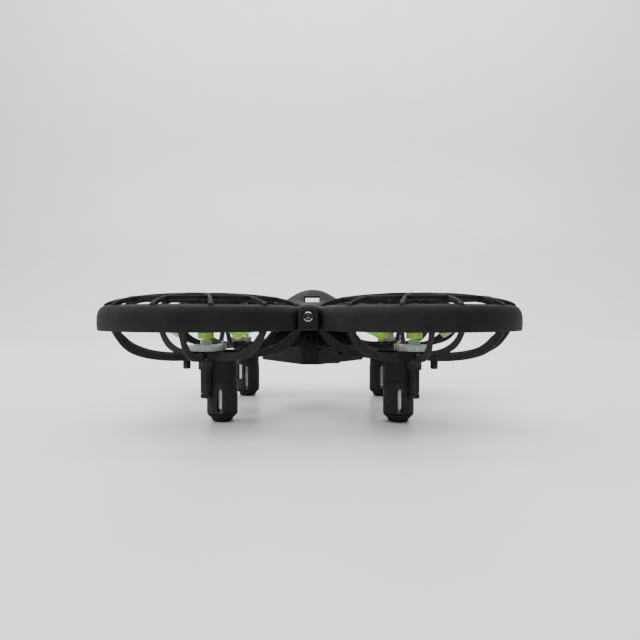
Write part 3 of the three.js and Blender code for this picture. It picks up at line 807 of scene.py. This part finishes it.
def motor_foot():
    """The cap under the leg, a bowl with a small flat sole."""
    sole = 2.95
    height = FOOT_HIGH.z
    edge = HOLDER_RADIUS - 0.05
    return turned([
        (0, 0), (sole, 0), (sole + 0.45, 0.1), (sole + 0.95, 0.45), (sole + 1.15, 0.9),
        (sole + 1.3, 1.35), (edge - 0.35, height - 0.5), (edge - 0.05, height - 0.2),
        (edge, height), (0, height),
    ], 96, MOTOR_CENTRE)


def motor():
    """A coreless motor: a drawn can with a rolled shoulder, a raised bearing seat and three vents."""
    bottom, boss_top = MOTOR_LOW.z, MOTOR_HIGH.z
    top = boss_top - 1
    can = turned([
        (0, bottom), (MOTOR_RADIUS - 1.6, bottom), (MOTOR_RADIUS - 1.6, bottom + 1.5),
        (MOTOR_RADIUS - 0.3, bottom + 1.6), (MOTOR_RADIUS, bottom + 1.9), (MOTOR_RADIUS, top - 0.5),
        (MOTOR_RADIUS - 0.15, top - 0.15), (MOTOR_RADIUS - 0.5, top), (1.2, top), (1.2, boss_top - 0.1),
        (1.1, boss_top), (0, boss_top),
    ], 96, MOTOR_CENTRE)
    vents = []
    for at in range(3):
        angle = at * TURN / 3
        place = (MOTOR_CENTRE[0] + 2.6 * math.cos(angle), MOTOR_CENTRE[1] + 2.6 * math.sin(angle))
        vents.append(rod(0.55, top - 0.3, top + 1, place, 24))
    return cut(can, merged(*vents))


def shaft_bushing():
    """The end collar on the bearing tube."""
    low, high = BUSHING_LOW.z, BUSHING_HIGH.z
    outside = BUSHING_RADIUS
    return hoop([
        (SHAFT_BORE, low + 0.1), (SHAFT_BORE + 0.1, low), (outside - 0.2, low), (outside, low + 0.2),
        (outside, high - 0.2), (outside - 0.2, high), (SHAFT_BORE, high),
    ], 40)


def propeller_shaft():
    radius = (SHAFT_HIGH.x - SHAFT_LOW.x) / 2
    low, high = SHAFT_LOW.z, SHAFT_HIGH.z
    return turned([
        (0, low), (radius - 0.15, low), (radius, low + 0.15), (radius, high - 0.1),
        (radius - 0.1, high), (0, high),
    ], 32)


# ---- rotor unit: gears and propeller ----

GEAR_MODULE = 0.3
SPUR_TEETH = 40
PINION_TEETH = 9
HUB_RADIUS = 3
BLADE_ANGLE = 162


def toothed_outline(teeth, phase):
    """Round the rim of a gear: tapering teeth with rounded tips and rounded gaps between them."""
    pitch = GEAR_MODULE * teeth / 2
    step = TURN / teeth
    flank = [
        (pitch - 1.25 * GEAR_MODULE, -0.5), (pitch - 1.2 * GEAR_MODULE, -0.36),
        (pitch - 0.7 * GEAR_MODULE, -0.3), (pitch, -0.22), (pitch + 0.6 * GEAR_MODULE, -0.13),
        (pitch + 0.95 * GEAR_MODULE, -0.07),
    ]
    tooth = flank + [(radius, -share) for radius, share in reversed(flank[1:])]
    outline = []
    for at in range(teeth):
        for radius, share in tooth:
            angle = phase + (at + share) * step
            outline.append((radius * math.cos(angle), radius * math.sin(angle)))
    return outline


def spur_gear():
    """The large gear, thinned on top between its rim and its hub."""
    low, rim_high = GEAR_LOW.z + 0.1, GEAR_HIGH.z - 2.1
    wheel = slab(toothed_outline(SPUR_TEETH, 0), low, rim_high)
    pitch = GEAR_MODULE * SPUR_TEETH / 2
    rim, hub = pitch - 1.4, 2.05
    thinning = hoop([(hub, rim_high - 0.7), (rim - 0.2, rim_high - 0.7), (rim, rim_high + 1),
                     (hub, rim_high + 1)], 64)
    hub_body = turned([
        (0, rim_high - 1), (hub, rim_high - 1), (hub, GEAR_HIGH.z - 0.15), (hub - 0.15, GEAR_HIGH.z),
        (0, GEAR_HIGH.z),
    ], 48)
    bore = rod(SHAFT_BORE, low - 1, GEAR_HIGH.z + 1)
    return cut(joined(cut(wheel, thinning), hub_body), bore)


def pinion():
    """The small gear on the motor's shaft, turned so that one of its gaps faces the spur gear."""
    low, high = GEAR_LOW.z - 0.1, GEAR_HIGH.z - 1.9
    phase = TURN / 8 + TURN / PINION_TEETH / 2
    wheel = shifted(slab(toothed_outline(PINION_TEETH, phase), low, high), (*MOTOR_CENTRE, 0))
    shaft = turned([
        (0, PINION_LOW.z), (0.4, PINION_LOW.z), (0.4, PINION_HIGH.z - 0.1), (0.3, PINION_HIGH.z),
        (0, PINION_HIGH.z),
    ], 24, MOTOR_CENTRE)
    return joined(wheel, shaft)


def blade_at(share):
    """A blade's width, pitch, middle height and thickness at a share of its length."""
    stations = (
        (1.8, 3.6, 20, 35.3, 1.5), (5, 3.7, 25, 35.8, 1.4), (8, 4.6, 30, 36.0, 1.25),
        (12.5, 7.6, 34, 35.4, 1.1), (14.5, 9.6, 34, 34.8, 1.0), (16, 10.4, 33, 34.6, 0.95),
        (18.5, 9.8, 27, 35.3, 0.9), (22, 8.7, 21, 36.1, 0.8), (27, 7.4, 16, 36.8, 0.75),
        (30.5, 6.2, 13, 37.1, 0.65), (32.4, 4.4, 12, 37.15, 0.6), (33, 2.6, 12, 37.15, 0.5),
    )
    place = share * (len(stations) - 1)
    at = min(int(place), len(stations) - 2)
    return curve_point(stations, at, place - at)


def blade():
    """One blade along +X: a nearly straight leading edge, and a belly about halfway out."""
    ring_count, section_points = 44, 22
    rings = []
    for at in range(ring_count + 1):
        radius, chord, pitch, height, thickness = blade_at(at / ring_count)
        slope = math.radians(pitch)
        leading = 1.8 + 1.4 * min(1, radius / 10)
        middle = leading - chord * math.cos(slope) / 2
        ring = []
        for step in range(section_points):
            angle = TURN * step / section_points
            along = chord / 2 * math.cos(angle)
            camber = 0.05 * chord * math.sin(angle) ** 2
            up = camber + thickness / 2 * math.sin(angle)
            ring.append((
                radius,
                middle + along * math.cos(slope) - up * math.sin(slope),
                height + along * math.sin(slope) + up * math.cos(slope),
            ))
        rings.append(ring)
    return bridge_rings(rings)


def propeller():
    """Two blades on a domed hub."""
    low, top = GEAR_HIGH.z + GAP, GEAR_HIGH.z + 5.6
    hub = turned([
        (0, low), (HUB_RADIUS - 0.2, low), (HUB_RADIUS, low + 0.2), (HUB_RADIUS, top - 1.2),
        (HUB_RADIUS - 0.12, top - 0.7), (HUB_RADIUS - 0.5, top - 0.22), (HUB_RADIUS - 1.1, top),
        (0.9, top), (0.75, top - 0.25), (0, top - 0.25),
    ], 64)
    blades = [
        spun(blade(), math.radians(BLADE_ANGLE + 180 * at), "Z")
        for at in range(2)
    ]
    bore = rod(SHAFT_BORE, low - 1, top - 1)
    return cut(joined(hub, *blades), bore)


# ---- pod ----

FLAT_HALF = 3.4
POD_ROUNDING = 0.6
POD_SIDE_SPREAD = 0.3           # the side corners are drawn this far past their CAD solid, then rounded
CANOPY_RADIUS = 16.3
SKIRT_TOP_INSET = 6.4
WINDOW_BOTTOM = LIGHT_LOW.z - GAP
WINDOW_TOP = LIGHT_HIGH.z + GAP
SENSOR_RADIUS = (EYE_HIGH.x - EYE_LOW.x) / 2
SWITCH_PLACE = ((SWITCH_LOW.x + SWITCH_HIGH.x) / 2, (SWITCH_LOW.y + SWITCH_HIGH.y) / 2)
FACET = math.atan2(POD_REACH, POD_SIDE - FLAT_HALF)
FACET_MIDDLE = ((POD_SIDE + FLAT_HALF) / 2, -POD_REACH / 2)
SOCKET_HEIGHT = 24.7
PEEPHOLE_HEIGHT = 31.3


def rounded_corners(corners, radius, steps=5):
    """An outline with each corner drawn round."""
    outline = []
    count = len(corners)
    for at in range(count):
        before, corner, after = (Vector(corners[(at + shift) % count]) for shift in (-1, 0, 1))
        back, on = (before - corner).normalized(), (after - corner).normalized()
        reach = radius / math.tan(back.angle(on) / 2)
        start, end = corner + back * reach, corner + on * reach
        for step in range(steps + 1):
            t = step / steps
            outline.append((1 - t) ** 2 * start + 2 * t * (1 - t) * corner + t ** 2 * end)
    return outline


def pod_ring(height, inset):
    """The pod's six-sided plan at a height, drawn in by an inset."""
    reach = POD_REACH - inset
    side = POD_SIDE + POD_SIDE_SPREAD - inset * 1.4
    half = FLAT_HALF - inset * 0.3
    corners = [(side, 0), (half, reach), (-half, reach), (-side, 0), (-half, -reach), (half, -reach)]
    return [(x, y, height) for x, y in rounded_corners(corners, POD_ROUNDING)]


def pod_loft(levels):
    """The pod's plan lofted through (height, inset) pairs."""
    return bridge_rings([pod_ring(height, inset) for height, inset in levels])


def block(low, high):
    """A plain box between two corners."""
    bm = bmesh.new()
    bmesh.ops.create_cube(bm, size=1)
    low, high = Vector(low), Vector(high)
    bm.transform(Matrix.Translation((low + high) / 2) @ Matrix.Diagonal((*(high - low), 1)))
    return bm


def blended(bm, voxel, passes):
    """One skin over bodies that overlap, with the creases between them smoothed. Uses bm up."""
    piece = scratch_object(bm)
    remesh = piece.modifiers.new("remesh", "REMESH")
    remesh.mode = "VOXEL"
    remesh.voxel_size = voxel
    smooth = piece.modifiers.new("smooth", "SMOOTH")
    smooth.factor = 0.5
    smooth.iterations = passes
    return evaluated(piece)


def hump():
    """The canopy's bell-shaped middle."""
    skin = smooth_line([
        (0, CANOPY_TOP), (3.4, CANOPY_TOP - 0.4), (6.6, CANOPY_TOP - 1.6), (9.4, CANOPY_TOP - 3.2),
        (12, CANOPY_TOP - 4.8), (14.5, CANOPY_TOP - 6), (CANOPY_RADIUS, CANOPY_TOP - 6.6),
    ], 4)
    lower = RING_BOTTOM - 1
    return turned([tuple(point) for point in skin] + [(CANOPY_RADIUS, lower), (0, lower)], 96)


def ring_edge(along):
    """Distance from a bridge's middle line to the guard ring beside it, at a place along the bridge."""
    inside = RING_RADIUS ** 2 - (ROTOR_OFFSET - along) ** 2
    return ROTOR_OFFSET - math.sqrt(inside) if inside > 0 else BRIDGE_HALF


def tongue():
    """A bridge along +X that narrows from the hump to the block between two rings."""
    stations = smooth_line([
        Vector((7, 10.4, 46.6)), Vector((13, 9.2, 46.3)), Vector((19, 6.9, 45.8)),
        Vector((25, 5.1, 45.3)), Vector((31, 4.3, 44.9)), Vector((37, 3.7, 44.5)),
        Vector((44, BRIDGE_HALF, 44.2)), Vector((54.6, BRIDGE_HALF, 44.1)),
    ], 5)
    front = [
        Vector((BRIDGE_REACH - 1.5, BRIDGE_HALF, 43.85)), Vector((BRIDGE_REACH - 0.7, BRIDGE_HALF, 43.3)),
        Vector((BRIDGE_REACH - 0.2, BRIDGE_HALF, 42.5)), Vector((BRIDGE_REACH, BRIDGE_HALF, 41.6)),
    ]
    rings = []
    for along, half, top in stations + front:
        lower_half = max(BRIDGE_HALF, min(half, ring_edge(along) - GAP))
        shoulder = min(RING_CREST - 0.3, top - 1.5)
        side = [
            (lower_half - 0.2, RING_BOTTOM), (lower_half, RING_BOTTOM + 0.3), (lower_half, shoulder - 0.8),
            (half, shoulder), (half - 0.15, top - 0.8), (half - 0.6, top - 0.3), (half - 1.4, top - 0.05),
            (half * 0.3, top + 0.12),
        ]
        across = [(y, z) for y, z in side] + [(-y, z) for y, z in reversed(side)]
        rings.append([(along, y, z) for y, z in across])
    return bridge_rings(rings)


def brow_pocket():
    """The shallow arched pocket round the sensor in a bridge's outer face."""
    half = 2.45
    arch = EYE_HEIGHT + 0.1
    outline = [(-half, RING_BOTTOM + 1), (half, RING_BOTTOM + 1)] + arc((0, arch), half, 0, 180, 20)
    rings = [
        [(depth, y, z) for y, z in outline]
        for depth in (BRIDGE_REACH - 0.45, BRIDGE_REACH + 1)
    ]
    return bridge_rings(rings)


def quarter(bm, at):
    return spun(bm, at * TURN / 4, "Z")


def canopy():
    """The upper shell: a hump, four bridges that flow down from it, and a six-sided skirt below."""
    seam = POD_SEAM + GAP
    skirt = pod_loft([
        (seam, 0.45), (seam + 0.3, 0.2), (RING_BOTTOM, SKIRT_TOP_INSET), (RING_BOTTOM + 3, 8.4),
    ])
    hollow = pod_loft([(seam - 0.1, 0.2 + WALL), (RING_BOTTOM + 0.5, SKIRT_TOP_INSET + WALL)])
    top = blended(merged(hump(), *(quarter(tongue(), at) for at in range(4))), 0.36, 9)
    whole = joined(top, skirt)
    tools = [hollow]
    end = BRIDGE_REACH - 6
    inner_half = BRIDGE_HALF - WALL
    for at in range(4):
        channel = block((18, -inner_half, RING_BOTTOM - 2), (end, inner_half, RING_CREST - WALL))
        hole = rod(SENSOR_RADIUS + GAP, end - 1, BRIDGE_REACH + 1, sides=40)
        hole = spun(hole, TURN / 4, "Y")
        hole = shifted(hole, (0, 0, EYE_HEIGHT))
        tools += [quarter(channel, at), quarter(hole, at), quarter(brow_pocket(), at)]
    window_front = -CANOPY_RADIUS - 3
    window_back = LIGHT_HIGH.y + 0.3
    tools.append(block((-FLAT_HALF, window_front, WINDOW_BOTTOM), (FLAT_HALF, window_back, WINDOW_TOP)))
    for side in (-1, 1):
        peephole = rod(0.6, -POD_REACH - 1, -POD_REACH + 9, sides=32)
        peephole = spun(peephole, -TURN / 4, "X")
        peephole = moved(peephole, Matrix.Diagonal((1, 1, 1.6, 1)))
        tools.append(shifted(peephole, (side * 1.25, 0, PEEPHOLE_HEIGHT)))
    return cut(whole, *tools)


def light_bar():
    """A bar just behind its window, with a dark reveal above it."""
    low, high = LIGHT_LOW + Vector((0.3, 0.7, 0)), LIGHT_HIGH - Vector((0, 0, 0.5))
    return rounded_box(high - low, (low + high) / 2, 0.2, 3)


def lower_shell():
    """The tray under the pod, with openings for the switch, sensor, socket and a fingernail."""
    floor = POD_BOTTOM + WALL
    outside = pod_loft([
        (POD_BOTTOM, 0.5), (POD_BOTTOM + 0.05, 0.36), (POD_BOTTOM + 0.2, 0.24),
        (POD_BOTTOM + 0.5, 0.18), (POD_SEAM - 0.15, 0), (POD_SEAM, 0.14),
    ])
    inside = pod_loft([(floor, 0.4 + WALL), (POD_SEAM + 0.1, WALL)])
    switch_x, switch_y = SWITCH_PLACE
    switch_slot = rounded_box((5.4, 4.8, 4), (switch_x, switch_y - 1, POD_BOTTOM + 0.5), 0.3, 2)
    sensor_hole = rod(SENSOR_RADIUS + GAP, POD_BOTTOM - 1, floor + 1)
    socket_slot = rounded_box((6.2, 6, 1.1), (0, 0, 0), 0.45, 3)
    socket_slot = spun(socket_slot, FACET, "Z")
    socket_slot = shifted(socket_slot, (*FACET_MIDDLE, SOCKET_HEIGHT))
    nail_slot = rounded_box((3.8, 2.4, 0.6), (3, -POD_REACH + 0.2, POD_SEAM - 0.9), 0.2, 2)
    return cut(outside, inside, switch_slot, sensor_hole, socket_slot, nail_slot)


def power_switch():
    """A small slider with gripping ridges below and a flange inside."""
    floor = POD_BOTTOM + WALL
    x, y = SWITCH_PLACE
    low = SWITCH_LOW.z + 0.35
    high = floor + GAP + 0.2
    slider = rounded_box((4.6, 2, high - low), (x, y, (low + high) / 2), 0.2, 2)
    flange = rounded_box((6.4, 4, 0.7), (x, y, floor + GAP + 0.35), 0.1, 1)
    ridges = [
        rounded_box((0.45, 2, 0.8), (x + shift * 0.98, y, low + 0.05), 0.15, 2)
        for shift in (-2, -1, 0, 1, 2)
    ]
    return joined(slider, flange, merged(*ridges))


def charge_socket():
    """A small metal socket behind its slot in the right front side."""
    depth = 3.4
    inward = WALL + GAP + 0.5 + depth / 2
    shell = rounded_box((6, depth, 2.6), (0, 0, SOCKET_HEIGHT), 0.5, 3)
    mouth = rounded_box((5.2, depth, 1.5), (0, -0.6, SOCKET_HEIGHT), 0.35, 3)
    tongue_plate = rounded_box((3.6, depth - 0.8, 0.4), (0, 0.2, SOCKET_HEIGHT), 0.08, 1)
    whole = joined(cut(shell, mouth), tongue_plate)
    place = (FACET_MIDDLE[0] - inward * math.sin(FACET), FACET_MIDDLE[1] + inward * math.cos(FACET), 0)
    return shifted(spun(whole, FACET, "Z"), place)


def battery():
    """A soft pouch cell with a folded seam at one end."""
    low, high = box_mm("battery")
    pouch = rounded_box((high.x - low.x, high.y - low.y - 1.6, high.z - low.z),
                        (0, -0.8, (low.z + high.z) / 2), 1.4, 4)
    seam = rounded_box((high.x - low.x - 1, 2.4, 1.2), (0, high.y - 1.2, (low.z + high.z) / 2), 0.4, 2)
    return joined(pouch, seam)


def circuit_board():
    low, high = box_mm("circuit_board")
    board = rounded_box(high - low, (low + high) / 2, 0.15, 1)
    holes = [rod(0.8, low.z - 1, high.z + 1, (sx * 6, sy * 9.5)) for sx in (-1, 1) for sy in (-1, 1)]
    return cut(board, merged(*holes))


def sensor_lens(face):
    """A diode's round nose along +X, ending just behind a face."""
    lens = turned([
        (0, face - 5.4), (1.28, face - 5.4), (1.28, face - 1), (1.2, face - 0.75), (0.85, face - 0.45),
        (0.4, face - 0.3), (0, face - 0.26),
    ], 40)
    return spun(lens, TURN / 4, "Y")


def sensor_rim(face):
    """The bright ring round a diode's nose."""
    rim = hoop([
        (1.32, face - 2), (1.32, face - 0.7), (1.4, face - 0.5), (1.5, face - 0.42),
        (1.62, face - 0.5), (1.7, face - 0.75), (1.7, face - 2),
    ], 48)
    return spun(rim, TURN / 4, "Y")


# ---- assembly ----

def add_piece(name, bm, material, body, node=None):
    """Makes a piece, hangs it on its body and lets it stand for its CAD node."""
    piece = make_object(name, bm, material)
    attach(piece, body)
    if node:
        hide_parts(node)
    return piece


UNIT_PIECES = (
    ("guard_ring", guard_ring, BLACK, "shell_black", "frame"),
    ("guard_grille", guard_grille, BLACK, "shell_black", "frame"),
    ("arm_basket", arm_basket, BLACK, "shell_black", "frame"),
    ("motor_holder", motor_holder, BLACK_LEG, "shell_black", "frame"),
    ("motor_foot", motor_foot, BLACK_LEG, "shell_black", "frame"),
    ("motor", motor, CAN, "motor_steel", "frame"),
    ("shaft_bushing", shaft_bushing, BLACK_LEG, "shell_black", "frame"),
    ("boss_screw", boss_screw, BLACK_OXIDE, "screw_black", "frame"),
    ("propeller_shaft", propeller_shaft, SHAFT_STEEL, "shaft_steel", "{corner}_rotor"),
    ("spur_gear", spur_gear, NYLON, "gear_nylon", "{corner}_rotor"),
    ("propeller", propeller, LIME, "propeller_green", "{corner}_rotor"),
    ("pinion", pinion, NYLON, "gear_nylon", "{corner}_pinion_body"),
)

POD_PIECES = (
    ("canopy", canopy, BLACK, "shell_black", "frame"),
    ("light_bar", light_bar, MILKY, "light_white", "frame"),
    ("lower_shell", lower_shell, BLACK, "shell_black", "frame"),
    ("power_switch", power_switch, BLACK_SWITCH, "switch_black", "switch"),
    ("charge_socket", charge_socket, RIM_SILVER, "socket_steel", "frame"),
    ("battery", battery, FOIL, "battery_foil", "frame"),
    ("circuit_board", circuit_board, BOARD, "board_green", "frame"),
)


def add_rotor_units():
    for kind, build, material, slot_name, body in UNIT_PIECES:
        shape = build()
        for corner, (sign_x, sign_y) in CORNERS.items():
            copy = shape.copy()
            copy.transform(Matrix.Diagonal((sign_x, sign_y, 1, 1)))
            copy.transform(Matrix.Translation((sign_x * ROTOR_OFFSET, sign_y * ROTOR_OFFSET, 0)))
            node = f"{corner}_{kind}"
            add_piece(f"{node}_look", copy, material, body.format(corner=corner), node)
        shape.free()


def add_pod():
    for name, build, material, slot_name, body in POD_PIECES:
        add_piece(f"{name}_look", build(), material, body, name)


def add_sensors():
    """A lens and its rim in each bridge's outer face, and one pair in the pod's underside."""
    for at, side in enumerate(("right", "rear", "left", "front")):
        turn = Matrix.Rotation(at * TURN / 4, 4, "Z") @ Matrix.Translation((0, 0, EYE_HEIGHT))
        node = f"{side}_sensor"
        lens = moved(sensor_lens(BRIDGE_REACH), turn)
        rim = moved(sensor_rim(BRIDGE_REACH), turn)
        add_piece(f"{node}_lens", lens, LENS, "frame", node)
        add_piece(f"{node}_rim", rim, RIM_SILVER, "frame")
    down = Matrix.Translation((0, 0, POD_BOTTOM - 0.1)) @ Matrix.Rotation(TURN / 4, 4, "Y")
    lens, rim = moved(sensor_lens(0), down), moved(sensor_rim(0), down)
    add_piece("bottom_sensor_lens", lens, LENS, "frame", "bottom_sensor")
    add_piece("bottom_sensor_rim", rim, RIM_SILVER, "frame")


add_rotor_units()
add_pod()
add_sensors()


# ---- stage and light ----

def studio_material():
    """Pale glossy card with a faint mottle."""
    shader = Shader("studio_card")
    shader.colour(shader.clouds(60, 3, (0.86, 0.86, 0.86), (0.9, 0.9, 0.9)))
    shader.gloss(25, 3, 0.3, 0.36)
    shader.bump([(shader.noise(1.5, 2), 0.002)])
    return shader.material


def add_sweep():
    """A floor that curves up into a wall behind the drone."""
    floor_front, floor_back, wall_top, half_width, bend = -1400, 700, 1600, 2200, 500
    line = [(floor_front, 0)] + [
        (y, z + bend) for y, z in arc((floor_back, 0), bend, -90, 0, 24)
    ] + [(floor_back + bend, wall_top)]
    bm = bmesh.new()
    sides = [[bm.verts.new((x, y, z)) for y, z in line] for x in (-half_width, half_width)]
    for at in range(len(line) - 1):
        bm.faces.new((sides[0][at], sides[1][at], sides[1][at + 1], sides[0][at + 1]))
    sweep = make_object("studio_sweep", bm, studio_material(), 60)


def add_area_light(name, place, target, size, power):
    """A white rectangular light at a place, pointed at a target."""
    data = bpy.data.lights.new(name, "AREA")
    data.shape = "RECTANGLE"
    data.size, data.size_y = size
    data.energy = power
    light = bpy.data.objects.new(name, data)
    light.location = place
    light.rotation_euler = (Vector(target) - Vector(place)).to_track_quat("-Z", "Y").to_euler()
    bpy.context.collection.objects.link(light)


def add_world(strength):
    world = bpy.data.worlds.new("studio_world")
    world.use_nodes = True
    background = world.node_tree.nodes["Background"]
    background.inputs["Color"].default_value = (0.93, 0.96, 1.0, 1)
    background.inputs["Strength"].default_value = strength
    bpy.context.scene.world = world


add_sweep()
add_area_light("overhead_box", (-0.2, 0.32, 0.7), (0, 0, 0.03), (0.7, 0.5), 3)
add_area_light("left_box", (-0.9, -0.15, 0.5), (0, 0, 0.03), (0.4, 0.5), 4)
add_area_light("floor_wash", (0, -0.15, 1.6), (0, 0.1, 0), (2.4, 1.6), 34)
add_area_light("wall_wash", (0, 0.5, 1.2), (0, 1.2, 0.3), (2, 0.4), 13)
add_world(0.3)
